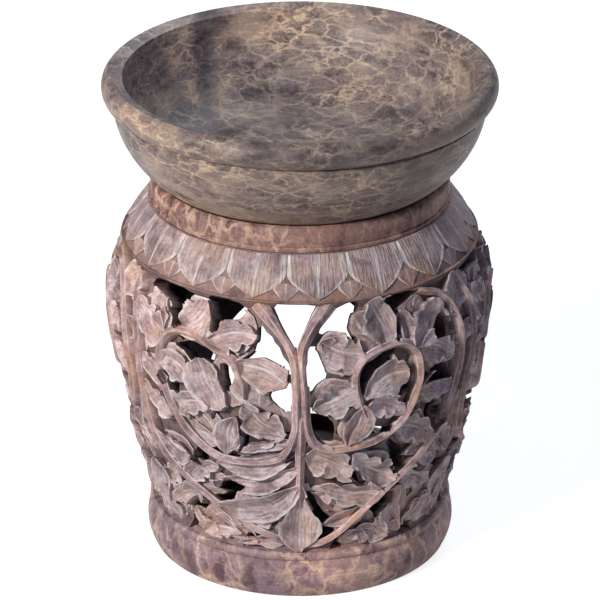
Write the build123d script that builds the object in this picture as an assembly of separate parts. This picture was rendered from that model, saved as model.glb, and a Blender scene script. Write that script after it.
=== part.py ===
from build123d import *
from math import cos, radians, sin
import os

# Every length is in millimetres. The burner stands on z = 0 with its axis on Z.
# Its carved front faces -Y and the doorway for the candle faces +Y.
# Angles are in degrees round the axis from the front, growing towards +X.

# Turned foot ring, with the candle well sunk in its floor
foot_height = 10.3
foot_base_radius = 30.3
foot_swell_radius = 31.7
foot_top_radius = 30.6
floor_thickness = 3.5
well_radius = 24.5
bead_height = 0.7
bead_stand = 0.4
foot_swell_share = 0.38

# Carved wall, its turned curve and its relief
wall_height = 57.7
wall_flare_radius = 35.2
wall_swell_radius = 38.6
wall_belly_radius = 39.5
wall_top_radius = 36.9
wall_thickness = 7.0
relief_depth = 2.2
leaf_step = 0.5
stem_width = 1.9
scroll_width = 2.4
root_depth = 0.8
panel_count = 3

# Doorway at the back, with its plain border
door_half_width = 20.0
door_spring_height = 21.4
door_border = 3.2

# Shoulder with its ring of petals
shoulder_height = 8.2
shoulder_step = 0.8
shoulder_mid_radius = 33.9
shoulder_top_step = 0.6
petal_count = 17
petal_depth = 0.6
petal_groove = 0.6
first_petal_angle = 6.0
petal_side_share = 0.5
petal_bend_share = 0.6
petal_bend_height_share = 0.2

# Neck ring and the seat of the bowl
neck_height = 5.4
neck_bore_radius = 22.0
neck_lip = 1.05
neck_round = 0.7
neck_round_limit_share = 0.8
seat_depth = 1.6
seat_clearance = 0.6

# Loose oil bowl
bowl_height = 22.7
bowl_base_radius = 26.0
bowl_skirt_run = 3.2
bowl_skirt_rise = 2.0
bowl_side_radius = 34.2
bowl_side_rise = 7.3
bowl_collar_radius = 37.5
rim_height = 5.9
rim_swell_share = 0.58
rim_radius = 39.7
rim_edge_radius = 37.6
mouth_radius = 35.4
mouth_drop = 0.9
bowl_floor_thickness = 6.0
bowl_floor_radius = 15.0
bowl_hollow_radius = 30.2
bowl_hollow_rise = 12.0

# Candle in its metal cup
cup_radius = 18.75
cup_height = 14.0
cup_wall = 0.4
wax_depth = 11.5
wick_radius = 0.8
wick_stand = 4.5
tab_radius = 6.0
tab_thickness = 0.5
tab_collar_radius = 1.8
tab_collar_height = 3.0

overrun = 4.0

wall_base = foot_height
shoulder_base = wall_base + wall_height
neck_base = shoulder_base + shoulder_height
neck_top = neck_base + neck_height
bowl_base = neck_top - seat_depth
cup_floor = floor_thickness + cup_wall
panel_angle = 360 / panel_count

skirt_radius_at_lip = bowl_base_radius + bowl_skirt_run * seat_depth / bowl_skirt_rise
socket_base_radius = bowl_base_radius + seat_clearance
socket_mouth_radius = skirt_radius_at_lip + seat_clearance
neck_radius = socket_mouth_radius + neck_lip
shoulder_base_radius = wall_top_radius - shoulder_step
shoulder_top_radius = neck_radius + shoulder_top_step

# Heights of the wall's turned curve, as shares of the wall's height
wall_flare_share = 0.31
wall_swell_share = 0.62
wall_belly_share = 0.79

# Carving on one panel. Each point is an angle from the panel's middle in degrees
# and a share of the wall's height. A share over one runs out under the shoulder.
window_shares = [
    [(-9.5, 1.02), (4, 1.02), (4, 0.975), (-1.5, 0.86)],
    [(16, 1.02), (18.5, 1.02), (16, 0.915), (18, 0.87), (16.5, 0.86), (14, 0.9), (8, 0.915), (7, 0.93),
     (11, 0.975)],
    [(3, 0.845), (5.5, 0.845), (8, 0.775), (7.5, 0.75), (2.2, 0.715), (1.8, 0.78)],
    [(3, 0.615), (8, 0.59), (10.5, 0.57), (10, 0.525), (6, 0.54), (3.5, 0.58)],
    [(27, 1.02), (41, 1.02), (36, 0.965), (32, 0.95), (32, 0.86), (29.5, 0.835), (30, 0.93)],
    [(44, 0.8), (51, 0.795), (51, 0.85), (48, 0.905), (45, 0.88), (43, 0.845)],
    [(19, 0.655), (19, 0.725), (21, 0.775), (26, 0.8), (30, 0.8), (28, 0.785), (23, 0.755), (20.5, 0.705)],
    [(33.5, 0.74), (35.5, 0.74), (37, 0.69), (36, 0.625), (33, 0.595), (30.5, 0.61), (34, 0.67)],
    [(21, 0.475), (23, 0.52), (29, 0.505), (31, 0.51), (30, 0.49), (25, 0.48)],
    [(12, 0.565), (15, 0.62), (17, 0.62), (15.5, 0.585), (13.5, 0.555)],
    [(41, 0.655), (48, 0.69), (53, 0.67), (53, 0.62), (48, 0.61), (43, 0.62)],
    [(38, 0.55), (45, 0.54), (53, 0.55), (53, 0.445), (50, 0.405), (46, 0.445), (43, 0.515)],
    [(31, 0.445), (38, 0.395), (37, 0.325), (33, 0.29), (31, 0.325), (32.5, 0.36)],
    [(16.5, 0.315), (17.5, 0.35), (20, 0.34), (22, 0.3), (25.5, 0.28), (22, 0.255)],
    [(1.5, 0.237), (3, 0.255), (5, 0.255), (8, 0.21), (13.5, 0.18), (7.5, 0.15), (5, 0.168)],
    [(25, 0.168), (34.5, 0.228), (36, 0.2), (36, 0.15), (30, 0.133), (26, 0.142)],
    [(8, 0.02), (12, 0.047), (16, 0.064), (15, 0.043), (11, 0.02)],
    [(40, 0.02), (44, 0.04), (48, 0.035), (46, 0.015)],
    [(41, 0.285), (46, 0.285), (50, 0.245), (45, 0.25)],
    [(-55, 0.972), (-50, 1.02), (-37.5, 1.02), (-37, 0.97), (-39, 0.945), (-45, 0.948)],
    [(-46, 0.915), (-40, 0.94), (-38, 0.88), (-40, 0.858)],
    [(-30, 1.02), (-21, 1.02), (-17, 0.965), (-19, 0.94), (-24, 0.93), (-26, 0.88), (-28, 0.88), (-27.5, 0.93)],
    [(-12.5, 0.92), (-8, 0.88), (-3.7, 0.81), (-5, 0.79), (-11, 0.82), (-17, 0.806), (-13, 0.853)],
    [(-8, 0.697), (-2.5, 0.714), (-2.5, 0.62), (-4, 0.593), (-7, 0.61), (-10.5, 0.653)],
    [(-42, 0.792), (-36, 0.818), (-28, 0.81), (-30, 0.79), (-37, 0.783)],
    [(-25, 0.766), (-22, 0.766), (-20, 0.723), (-21, 0.688), (-23, 0.655), (-24.5, 0.7)],
    [(-48, 0.67), (-44, 0.688), (-42, 0.66), (-45, 0.625)],
    [(-30, 0.53), (-28, 0.565), (-27, 0.56), (-29, 0.505)],
    [(-18, 0.515), (-12, 0.49), (-5, 0.475), (-12, 0.463), (-18, 0.445), (-20, 0.41)],
    [(-3.5, 0.445), (-1.7, 0.445), (-2, 0.41), (-4.5, 0.393)],
    [(-38, 0.385), (-33.5, 0.375), (-36, 0.34), (-36, 0.3), (-39.5, 0.333)],
    [(-34, 0.22), (-30, 0.255), (-26, 0.29), (-18.5, 0.263), (-21, 0.23), (-25, 0.215)],
    [(-48, 0.08), (-43, 0.15), (-40, 0.17), (-35, 0.147), (-39, 0.1), (-42, 0.107)],
    [(-10.5, 0.116), (-8, 0.133), (-8, 0.107), (-12, 0.08)],
    [(-22, 0.03), (-20, 0.055), (-14, 0.047), (-12.2, 0.032)],
]

# Raised stems: the heart's outline, then the two scrolls that roll up inside it
heart_shares = [
    [(0, 0.01), (8, 0.035), (15, 0.08), (24, 0.17), (32, 0.245), (45, 0.36), (54, 0.5), (56.5, 0.64),
     (56, 0.78), (53, 0.9), (48, 0.955), (40, 0.985)],
    [(0, 0.01), (-10, 0.06), (-20, 0.105), (-30, 0.17), (-40, 0.235), (-50, 0.31), (-56, 0.4), (-57.5, 0.55),
     (-56.5, 0.72), (-56, 0.87)],
]
scroll_shares = [
    [(8, 0.995), (4, 0.93), (1, 0.86), (0.6, 0.79), (1.4, 0.67), (1.7, 0.57), (3, 0.5), (6, 0.455), (11, 0.44),
     (22, 0.45), (28, 0.475), (34, 0.525), (37.5, 0.62), (38.3, 0.7), (36.5, 0.79), (31, 0.835), (22, 0.82),
     (17.5, 0.775), (16.5, 0.71), (18.5, 0.62), (22, 0.53)],
    [(-12, 0.99), (-7, 0.93), (-3, 0.86), (-1.2, 0.79), (-0.8, 0.62), (-1.3, 0.52), (-5, 0.42), (-13, 0.385),
     (-26, 0.38), (-35, 0.43), (-42, 0.52), (-46, 0.65), (-46, 0.76), (-42, 0.84), (-34, 0.86), (-25, 0.82),
     (-19, 0.79), (-17, 0.72), (-17, 0.64)],
]

# Leaves: root, tip, width as a share of length, and how far below the stems the face lies, in leaf steps
leaf_shares = [
    ((19, 0.81), (6, 0.88), 0.7, 1),
    ((25, 0.84), (21, 0.985), 0.8, 2),
    ((34, 0.82), (45, 0.92), 0.7, 1),
    ((53, 0.78), (39, 0.71), 0.65, 2),
    ((19, 0.65), (34, 0.71), 0.65, 1),
    ((21, 0.6), (34, 0.56), 0.5, 3),
    ((13, 0.46), (19, 0.6), 0.6, 1),
    ((16, 0.69), (4, 0.63), 0.7, 2),
    ((39, 0.63), (52, 0.57), 0.55, 1),
    ((31, 0.47), (46, 0.41), 0.55, 2),
    ((2.5, 0.41), (16, 0.33), 0.6, 1),
    ((30, 0.27), (18, 0.4), 0.55, 2),
    ((27, 0.22), (8, 0.29), 0.45, 1),
    ((0, 0.27), (0, 0.02), 0.5, 1),
    ((35, 0.03), (17, 0.06), 0.45, 1),
    ((41, 0.02), (37, 0.13), 0.5, 2),
    ((56, 0.24), (43, 0.18), 0.6, 1),
    ((-43, 0.81), (-56, 0.9), 0.5, 2),
    ((-39, 0.87), (-29, 0.965), 0.65, 1),
    ((-29, 0.85), (-14, 0.9), 0.55, 2),
    ((-19, 0.76), (-4, 0.75), 0.8, 1),
    ((-46, 0.75), (-36, 0.69), 0.7, 2),
    ((-25, 0.6), (-30, 0.79), 0.6, 1),
    ((-5, 0.51), (-18, 0.64), 0.6, 2),
    ((-25, 0.39), (-20, 0.53), 0.55, 1),
    ((-41, 0.52), (-30, 0.58), 0.6, 3),
    ((-4, 0.41), (-23, 0.45), 0.35, 2),
    ((-3, 0.35), (-28, 0.3), 0.4, 1),
    ((-2, 0.26), (-27, 0.16), 0.42, 1),
    ((-38, 0.39), (-51, 0.36), 0.6, 1),
    ((-38, 0.03), (-24, 0.055), 0.45, 1),
]


def turned(outline, first_angle=0.0, sweep=360.0):
    """A closed outline of radius and height, turned about the axis from one angle on."""
    quarter_turn = 90
    face = Plane.XZ * make_face(outline)
    return Rot(Z=first_angle - quarter_turn) * revolve(face, Axis.Z, sweep)


def closed_polygon(*points):
    return Polyline(*points, close=True)


def wall_height_at(share):
    return wall_base + share * wall_height


def wall_curve(inset):
    """The wall's turned curve, from its foot to its top, moved inwards by an inset."""
    points = [
        (foot_top_radius - inset, wall_base),
        (wall_flare_radius - inset, wall_height_at(wall_flare_share)),
        (wall_swell_radius - inset, wall_height_at(wall_swell_share)),
        (wall_belly_radius - inset, wall_height_at(wall_belly_share)),
        (wall_top_radius - inset, shoulder_base),
    ]
    return ThreePointArc(*points[:3]) + ThreePointArc(*points[2:]), points[0], points[-1]


def wall_shell(outer_inset, inner_inset, first_angle=0.0, sweep=360.0):
    """A turned shell between two copies of the wall's curve."""
    outer, outer_foot, outer_top = wall_curve(outer_inset)
    inner, inner_foot, inner_top = wall_curve(inner_inset)
    outline = outer + inner + Line(outer_foot, inner_foot) + Line(outer_top, inner_top)
    return turned(outline, first_angle, sweep)


def wall_radius(share):
    """Outer radius at a share of the wall's height, along straight chords of the curve."""
    knots = [
        (0.0, foot_top_radius),
        (wall_flare_share, wall_flare_radius),
        (wall_swell_share, wall_swell_radius),
        (wall_belly_share, wall_belly_radius),
        (1.0, wall_top_radius),
    ]
    for (low, low_radius), (high, high_radius) in zip(knots, knots[1:]):
        if share <= high:
            return low_radius + (high_radius - low_radius) * (share - low) / (high - low)
    return wall_top_radius


def facing_plane(angle):
    """An upright plane through the axis that faces outwards at an angle from the front."""
    turn = radians(angle)
    return Plane(origin=(0, 0, 0), x_dir=(cos(turn), sin(turn), 0), z_dir=(sin(turn), -cos(turn), 0))


def middle_angle(points):
    angles = [angle for angle, share in points]
    return (min(angles) + max(angles)) / 2


def seen_from(middle, points):
    """Wall points as they lie on the plane that faces one angle."""
    return [
        Vector(wall_radius(share) * sin(radians(angle - middle)), wall_height_at(share))
        for angle, share in points
    ]


def driven_through(outline, middle):
    """An outline on the facing plane, driven outwards from the axis past the wall."""
    return extrude(facing_plane(middle) * make_face(outline), amount=wall_belly_radius + overrun)


def window_cutter(points):
    middle = middle_angle(points)
    return driven_through(closed_polygon(*seen_from(middle, points)), middle)


def ribbon_outline(points, width):
    """The two edges of a stem that runs along flat points, closed by its square ends."""
    left_side = []
    right_side = []
    for index, point in enumerate(points):
        before = points[max(index - 1, 0)]
        after = points[min(index + 1, len(points) - 1)]
        along = (after - before).normalized()
        across = Vector(-along.Y, along.X) * (width / 2)
        left_side.append(point + across)
        right_side.append(point - across)
    return (
        Spline(*left_side)
        + Line(left_side[-1], right_side[-1])
        + Spline(*right_side)
        + Line(left_side[0], right_side[0])
    )


def raised_stem(points, width):
    """A stem that stands at the full height of the relief and is rooted in the wall."""
    middle = middle_angle(points)
    outline = ribbon_outline(seen_from(middle, points), width)
    layer = wall_shell(0.0, relief_depth + root_depth, middle - panel_angle / 2, panel_angle)
    return driven_through(outline, middle) & layer


def raised_leaf(root, tip, width_share, steps_down):
    """A pointed leaf of two arcs, a few leaf steps below the stems."""
    middle = middle_angle([root, tip])
    start, end = seen_from(middle, [root, tip])
    along = end - start
    across = Vector(-along.Y, along.X) * (width_share / 2)
    centre = (start + end) / 2
    outline = ThreePointArc(start, centre + across, end) + ThreePointArc(end, centre - across, start)
    face_inset = steps_down * leaf_step
    layer = wall_shell(face_inset, relief_depth + root_depth, middle - panel_angle / 2, panel_angle)
    return driven_through(outline, middle) & layer


def carved_panel():
    """One third of the wall: ground, leaves, windows, then the stems that run over them."""
    ground = wall_shell(relief_depth, wall_thickness, -panel_angle / 2, panel_angle)
    leaves = [raised_leaf(*leaf) for leaf in leaf_shares]
    windows = [window_cutter(points) for points in window_shares]
    stems = [raised_stem(points, stem_width) for points in heart_shares]
    stems += [raised_stem(points, scroll_width) for points in scroll_shares]
    bounds = wall_shell(-overrun, wall_thickness + overrun, -panel_angle / 2, panel_angle)
    panel = ground + leaves
    panel = panel - windows
    panel = panel + stems
    return panel & bounds


def door_outline(extra):
    """An upright arch on the foot ring, grown by an extra on its sides and crown."""
    half_width = door_half_width + extra
    spring = door_spring_height
    return (
        Line((-half_width, wall_base), (half_width, wall_base))
        + Line((half_width, wall_base), (half_width, spring))
        + ThreePointArc((half_width, spring), (0, spring + half_width), (-half_width, spring))
        + Line((-half_width, spring), (-half_width, wall_base))
    )


def door_cutter(extra):
    return driven_through(door_outline(extra), 180)


def back_panel(panel, turn_angle):
    """A side panel with its part of the doorway cut out and the plain border round it."""
    turned_panel = Rot(Z=turn_angle) * panel
    own_third = wall_shell(leaf_step, wall_thickness, turn_angle - panel_angle / 2, panel_angle)
    border = own_third & door_cutter(door_border)
    return turned_panel - door_cutter(door_border) + (border - door_cutter(0.0))


def foot_ring():
    """The turned foot with a small bead under the carving, and the well for the candle."""
    swell = (foot_swell_radius, foot_height * foot_swell_share)
    bead_foot = (foot_top_radius, foot_height - bead_height)
    bead_crest = (foot_top_radius + bead_stand, foot_height - bead_height / 2)
    rim = Polyline(
        bead_foot,
        bead_crest,
        (foot_top_radius, foot_height),
        (well_radius, foot_height),
        (well_radius, floor_thickness),
        (0, floor_thickness),
        (0, 0),
        (foot_base_radius, 0),
    )
    return turned(rim + ThreePointArc((foot_base_radius, 0), swell, bead_foot))


def shoulder_outline(inset):
    """The shoulder's section, its outer curve moved inwards by an inset."""
    mid_height = shoulder_base + shoulder_height * petal_side_share
    lower = (shoulder_base_radius - inset, shoulder_base)
    middle = (shoulder_mid_radius - inset, mid_height)
    upper = (shoulder_top_radius - inset, neck_base)
    inner_lower = (wall_top_radius - wall_thickness, shoulder_base)
    inner_upper = (neck_bore_radius, neck_base)
    return (
        ThreePointArc(lower, middle, upper)
        + Line(upper, inner_upper)
        + Line(inner_upper, inner_lower)
        + Line(inner_lower, lower)
    )


def petal_cutter(angle):
    """A rounded shield seen from outside, with its tip near the shoulder's lower edge."""
    half_pitch = 180 / petal_count
    half_top = shoulder_top_radius * sin(radians(half_pitch)) - petal_groove / 2
    half_side = shoulder_mid_radius * sin(radians(half_pitch)) - petal_groove / 2
    side_level = shoulder_base + shoulder_height * petal_side_share
    bend_level = shoulder_base + shoulder_height * petal_bend_height_share
    tip_level = shoulder_base + petal_groove
    top_level = neck_base + overrun
    bend = half_side * petal_bend_share
    outline = closed_polygon(
        (-half_top, top_level), (-half_side, side_level), (-bend, bend_level), (0, tip_level),
        (bend, bend_level), (half_side, side_level), (half_top, top_level)
    )
    return driven_through(outline, angle)


def petal_shoulder():
    ground = turned(shoulder_outline(petal_depth))
    full = turned(shoulder_outline(0.0))
    angles = [first_petal_angle + index * 360 / petal_count for index in range(petal_count)]
    petals = [full & petal_cutter(angle) for angle in angles]
    return ground + petals


def neck_ring():
    outline = closed_polygon(
        (neck_bore_radius, neck_base),
        (neck_radius, neck_base),
        (neck_radius, neck_top),
        (socket_mouth_radius, neck_top),
        (socket_base_radius, bowl_base),
        (neck_bore_radius, bowl_base),
    )
    ring = turned(outline)
    outer_edge = ring.edges().filter_by(GeomType.CIRCLE).group_by(Axis.Z)[-1].sort_by(SortBy.RADIUS)[-1]
    return fillet(outer_edge, min(neck_round, neck_lip * neck_round_limit_share))


def oil_bowl():
    top = bowl_base + bowl_height
    collar = top - rim_height
    skirt = (bowl_base_radius + bowl_skirt_run, bowl_base + bowl_skirt_rise)
    swell = (rim_radius, collar + rim_height * rim_swell_share)
    mouth = (mouth_radius, top - mouth_drop)
    hollow_floor = bowl_base + bowl_floor_thickness
    outline = (
        Line((0, bowl_base), (bowl_base_radius, bowl_base))
        + Line((bowl_base_radius, bowl_base), skirt)
        + ThreePointArc(skirt, (bowl_side_radius, bowl_base + bowl_side_rise), (bowl_collar_radius, collar))
        + ThreePointArc((bowl_collar_radius, collar), swell, (rim_edge_radius, top))
        + Line((rim_edge_radius, top), mouth)
        + ThreePointArc(
            mouth, (bowl_hollow_radius, bowl_base + bowl_hollow_rise), (bowl_floor_radius, hollow_floor)
        )
        + Line((bowl_floor_radius, hollow_floor), (0, hollow_floor))
        + Line((0, hollow_floor), (0, bowl_base))
    )
    return turned(outline)


def tealight_cup():
    outline = closed_polygon(
        (0, floor_thickness),
        (cup_radius, floor_thickness),
        (cup_radius, floor_thickness + cup_height),
        (cup_radius - cup_wall, floor_thickness + cup_height),
        (cup_radius - cup_wall, cup_floor),
        (0, cup_floor),
    )
    return turned(outline)


def wick_tab():
    """The thin disc that holds the wick upright, with its collar round the wick."""
    outline = closed_polygon(
        (wick_radius, cup_floor),
        (tab_radius, cup_floor),
        (tab_radius, cup_floor + tab_thickness),
        (tab_collar_radius, cup_floor + tab_thickness),
        (tab_collar_radius, cup_floor + tab_collar_height),
        (wick_radius, cup_floor + tab_collar_height),
    )
    return turned(outline)


def tealight_wax():
    """The wax, cast round the tab and the wick."""
    wax_radius = cup_radius - cup_wall
    wax_top = cup_floor + wax_depth
    outline = closed_polygon(
        (tab_radius, cup_floor),
        (wax_radius, cup_floor),
        (wax_radius, wax_top),
        (wick_radius, wax_top),
        (wick_radius, cup_floor + tab_collar_height),
        (tab_collar_radius, cup_floor + tab_collar_height),
        (tab_collar_radius, cup_floor + tab_thickness),
        (tab_radius, cup_floor + tab_thickness),
    )
    return turned(outline)


def wick():
    wick_length = wax_depth + wick_stand
    return Pos(0, 0, cup_floor) * extrude(Circle(wick_radius), amount=wick_length)


def main():
    panel = carved_panel()
    pieces = {
        "foot_ring": foot_ring(),
        "front_carved_panel": panel,
        "right_carved_panel": back_panel(panel, panel_angle),
        "left_carved_panel": back_panel(panel, -panel_angle),
        "petal_shoulder": petal_shoulder(),
        "neck_ring": neck_ring(),
        "oil_bowl": oil_bowl(),
        "tealight_cup": tealight_cup(),
        "tealight_wax": tealight_wax(),
        "wick": wick(),
        "wick_tab": wick_tab(),
    }
    os.makedirs("parts", exist_ok=True)
    for name, piece in pieces.items():
        export_step(piece, f"parts/{name}.step")
        print(name, len(piece.solids()), round(piece.volume, 1))


main()
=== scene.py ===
import random
from math import asin, atan2, cos, hypot, pi, radians, sin

import bmesh
import bpy
from mathutils import Matrix, Vector


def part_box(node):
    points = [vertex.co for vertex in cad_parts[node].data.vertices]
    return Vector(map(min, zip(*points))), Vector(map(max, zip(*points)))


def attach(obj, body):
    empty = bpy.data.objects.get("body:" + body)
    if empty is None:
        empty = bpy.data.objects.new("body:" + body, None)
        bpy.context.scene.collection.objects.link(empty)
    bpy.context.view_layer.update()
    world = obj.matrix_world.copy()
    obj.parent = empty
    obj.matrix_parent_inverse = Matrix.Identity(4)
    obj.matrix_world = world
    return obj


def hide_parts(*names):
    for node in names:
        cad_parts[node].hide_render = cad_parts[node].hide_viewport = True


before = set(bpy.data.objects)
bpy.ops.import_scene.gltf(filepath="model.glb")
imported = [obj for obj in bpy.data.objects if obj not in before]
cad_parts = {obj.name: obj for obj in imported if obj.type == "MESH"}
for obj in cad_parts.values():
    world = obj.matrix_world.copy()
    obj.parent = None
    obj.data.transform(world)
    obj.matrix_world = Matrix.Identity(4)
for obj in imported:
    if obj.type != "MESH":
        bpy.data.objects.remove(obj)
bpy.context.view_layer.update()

# Foot ring
# The bottom of the one-block soapstone body, turned on a lathe. A small bead runs round its top,
# and the well for the candle is sunk in its floor. Its stone is redder and smoother than the carving.
foot_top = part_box("foot_ring")[1].z
foot_base_radius = 0.0303
foot_swell_radius = 0.0315
foot_swell_share = 0.38
foot_top_radius = 0.0306
bead_height = 0.0019
bead_stand = 0.0004
foot_base_round = 0.0009
well_radius = 0.0245
well_floor = 0.0035
lathe_steps = 192
vein_wander = 0.007
vein_raggedness = 0.0011
small_web_share = 2.3
small_web_strength = 0.45
stone_specular = 0.35


def tint(red, green, blue):
    """A colour as the eye reads it, from 0 to 255, as the renderer's linear colour."""
    return tuple((level / 255) ** 2.2 for level in (red, green, blue)) + (1.0,)


def circle_through(first, second, third):
    """Centre and radius of the circle through three flat points."""
    (ax, ay), (bx, by), (cx, cy) = first, second, third
    area = 2 * (ax * (by - cy) + bx * (cy - ay) + cx * (ay - by))
    a2, b2, c2 = ax * ax + ay * ay, bx * bx + by * by, cx * cx + cy * cy
    centre_x = (a2 * (by - cy) + b2 * (cy - ay) + c2 * (ay - by)) / area
    centre_y = (a2 * (cx - bx) + b2 * (ax - cx) + c2 * (bx - ax)) / area
    return centre_x, centre_y, hypot(ax - centre_x, ay - centre_y)


def arc(start, through, end, count=12):
    """Points along the arc of under half a turn from start to end."""
    centre_x, centre_y, radius = circle_through(start, through, end)
    first = atan2(start[1] - centre_y, start[0] - centre_x)
    last = atan2(end[1] - centre_y, end[0] - centre_x)
    sweep = (last - first + pi) % (2 * pi) - pi
    turns = [first + sweep * step / count for step in range(count + 1)]
    return [(centre_x + radius * cos(turn), centre_y + radius * sin(turn)) for turn in turns]


def join(tree, socket, source):
    """Links a socket to another node's output, or gives it a plain value."""
    if isinstance(source, bpy.types.NodeSocket):
        tree.links.new(source, socket)
    else:
        socket.default_value = source


def feed(tree, sockets, **sources):
    """Joins sockets that are named, with _ for a space."""
    for name, source in sources.items():
        join(tree, sockets[name.replace("_", " ")], source)


def add_node(tree, kind, *feeds, give=0, **settings):
    """One output of a new shader node, fed in the order of its inputs and by their names."""
    made = tree.nodes.new("ShaderNode" + kind)
    for name, value in settings.items():
        if hasattr(made, name):
            setattr(made, name, value)
        else:
            feed(tree, made.inputs, **{name: value})
    for socket, source in zip(made.inputs, feeds):
        join(tree, socket, source)
    return made.outputs[give]


def add_math(tree, operation, *feeds, **settings):
    """One sum of up to three values."""
    return add_node(tree, "Math", *feeds, operation=operation, **settings)


def add_noise(tree, place, scale, detail, roughness, twist=0.0):
    given = {"Scale": scale, "Detail": detail, "Roughness": roughness, "Distortion": twist}
    return add_node(tree, "TexNoise", place, give="Fac", **given)


def add_ramp(tree, share, *stops):
    """A colour ramp. Each stop is a position with a grey level, or with a red, a green and a blue one."""
    ramp = add_node(tree, "ValToRGB", share).node
    points = ramp.color_ramp.elements
    while len(points) < len(stops):
        points.new(1.0)
    for point, (position, *levels) in zip(points, stops):
        point.position = position
        point.color = (levels * 3)[:3] + [1.0]
    return ramp.outputs["Color"]


def add_mix(tree, share, under, over, blend="MIX"):
    """One colour laid over another. The node's colour sockets are inputs 6 and 7 and output 2."""
    mixed = add_node(tree, "Mix", share, data_type="RGBA", blend_type=blend).node
    join(tree, mixed.inputs[6], under)
    join(tree, mixed.inputs[7], over)
    return mixed.outputs[2]


def add_wobble(tree, place, noise, reach):
    """A place pushed about by the colours of a noise."""
    centred = add_node(tree, "VectorMath", noise.node.outputs["Color"], (0.5,) * 3, operation="SUBTRACT")
    return add_node(tree, "VectorMath", centred, (reach,) * 3, place, operation="MULTIPLY_ADD")


def new_group(name, given, put_out):
    """A node group, the sockets inside it that give its inputs, and those that take its outputs."""
    tree = bpy.data.node_groups.new(name, "ShaderNodeTree")
    for way, sockets in (("INPUT", given), ("OUTPUT", put_out)):
        for socket_name, kind in sockets.items():
            tree.interface.new_socket(socket_name, in_out=way, socket_type="NodeSocket" + kind)
    return tree, tree.nodes.new("NodeGroupInput").outputs, tree.nodes.new("NodeGroupOutput").inputs


def soapstone_group():
    """Blotched stone with a web of pale veins: its colour and gloss, its fine grain and its lathe rings."""
    tree, given, out = new_group(
        "soapstone",
        {"Dark": "Color", "Main": "Color", "Warm": "Color", "Vein": "Color", "Vein Amount": "Float",
         "Vein Width": "Float", "Cell Size": "Float", "Squash": "Float", "Ring Streaks": "Float",
         "Roughness": "Float"},
        {"Color": "Color", "Gloss": "Float", "Grain": "Float", "Rings": "Float"}
    )
    place = add_node(tree, "TexCoord", give="Object")
    squashed = add_node(tree, "CombineXYZ", 1.0, 1.0, given["Squash"])
    scaled = add_node(tree, "VectorMath", place, squashed, operation="MULTIPLY")
    pushed = add_wobble(tree, scaled, add_noise(tree, scaled, 170.0, 3.0, 0.6), vein_wander)
    fine = add_noise(tree, scaled, 750.0, 3.0, 0.7)
    ragged = add_wobble(tree, pushed, fine, vein_raggedness)

    density = add_math(tree, "DIVIDE", 1.0, given["Cell Size"])
    webs = []
    for share in (1.0, small_web_share):
        finer = add_math(tree, "MULTIPLY", density, share)
        cells = add_node(tree, "TexVoronoi", ragged, give="Distance", feature="DISTANCE_TO_EDGE", Scale=finer)
        thin = add_math(tree, "DIVIDE", cells, given["Vein Width"])
        webs.append(add_ramp(tree, thin, (0.0, 1.0), (0.09, 0.85), (0.15, 0.2), (0.4, 0.0)))
    both = add_math(tree, "MULTIPLY_ADD", webs[1], small_web_strength, webs[0])
    patches = add_ramp(tree, add_noise(tree, scaled, 75.0, 4.0, 0.6), (0.36, 0.05), (0.62, 1.0))
    broken = add_math(tree, "MULTIPLY", both, patches)
    flecks = add_ramp(tree, fine, (0.66, 0.0), (0.72, 0.7))
    flecked = add_math(tree, "MAXIMUM", broken, flecks)
    veins = add_math(tree, "MULTIPLY", flecked, given["Vein Amount"], use_clamp=True)

    clouds = add_ramp(tree, add_noise(tree, pushed, density, 6.0, 0.65), (0.4, 0.0), (0.54, 1.0))
    warmth = add_ramp(tree, add_noise(tree, scaled, 85.0, 5.0, 0.6), (0.5, 0.0), (0.6, 0.85))
    stone = add_mix(tree, clouds, given["Dark"], given["Main"])
    stone = add_mix(tree, warmth, stone, given["Warm"])
    stone = add_mix(tree, veins, stone, given["Vein"])

    grain = add_noise(tree, place, 1500.0, 4.0, 0.7)
    speckle = add_ramp(tree, grain, (0.34, 0.74, 0.73, 0.73), (0.66, 1.16, 1.15, 1.14))
    wide = add_noise(tree, scaled, 26.0, 2.0, 0.5)
    drift = add_ramp(tree, wide, (0.38, 0.78, 0.79, 0.85), (0.62, 1.1, 1.03, 0.99))
    apart = add_node(tree, "SeparateXYZ", place).node.outputs
    level = add_node(tree, "CombineXYZ", apart["X"], apart["Y"])
    out_by = add_node(tree, "VectorMath", level, give="Value", operation="LENGTH")
    rings = add_noise(tree, add_node(tree, "CombineXYZ", out_by, apart["Z"]), 1600.0, 2.0, 0.6)
    streaks = add_ramp(tree, rings, (0.3, 0.86, 0.86, 0.87), (0.7, 1.09, 1.09, 1.08))
    for share, shade in ((1.0, speckle), (1.0, drift), (given["Ring Streaks"], streaks)):
        stone = add_mix(tree, share, stone, shade, "MULTIPLY")
    uneven = add_node(tree, "MapRange", grain, 0.3, 0.7, 0.82, 1.2)
    gloss = add_math(tree, "MULTIPLY", uneven, given["Roughness"])
    feed(tree, out, Color=stone, Gloss=gloss, Grain=grain, Rings=rings)
    return tree


soapstone = soapstone_group()


def new_material(name):
    made = bpy.data.materials.new(name)
    made.use_nodes = True
    return made, made.node_tree


def feed_shader(made, **sources):
    """Joins inputs of a material's Principled shader."""
    feed(made.node_tree, made.node_tree.nodes["Principled BSDF"].inputs, **sources)


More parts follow.
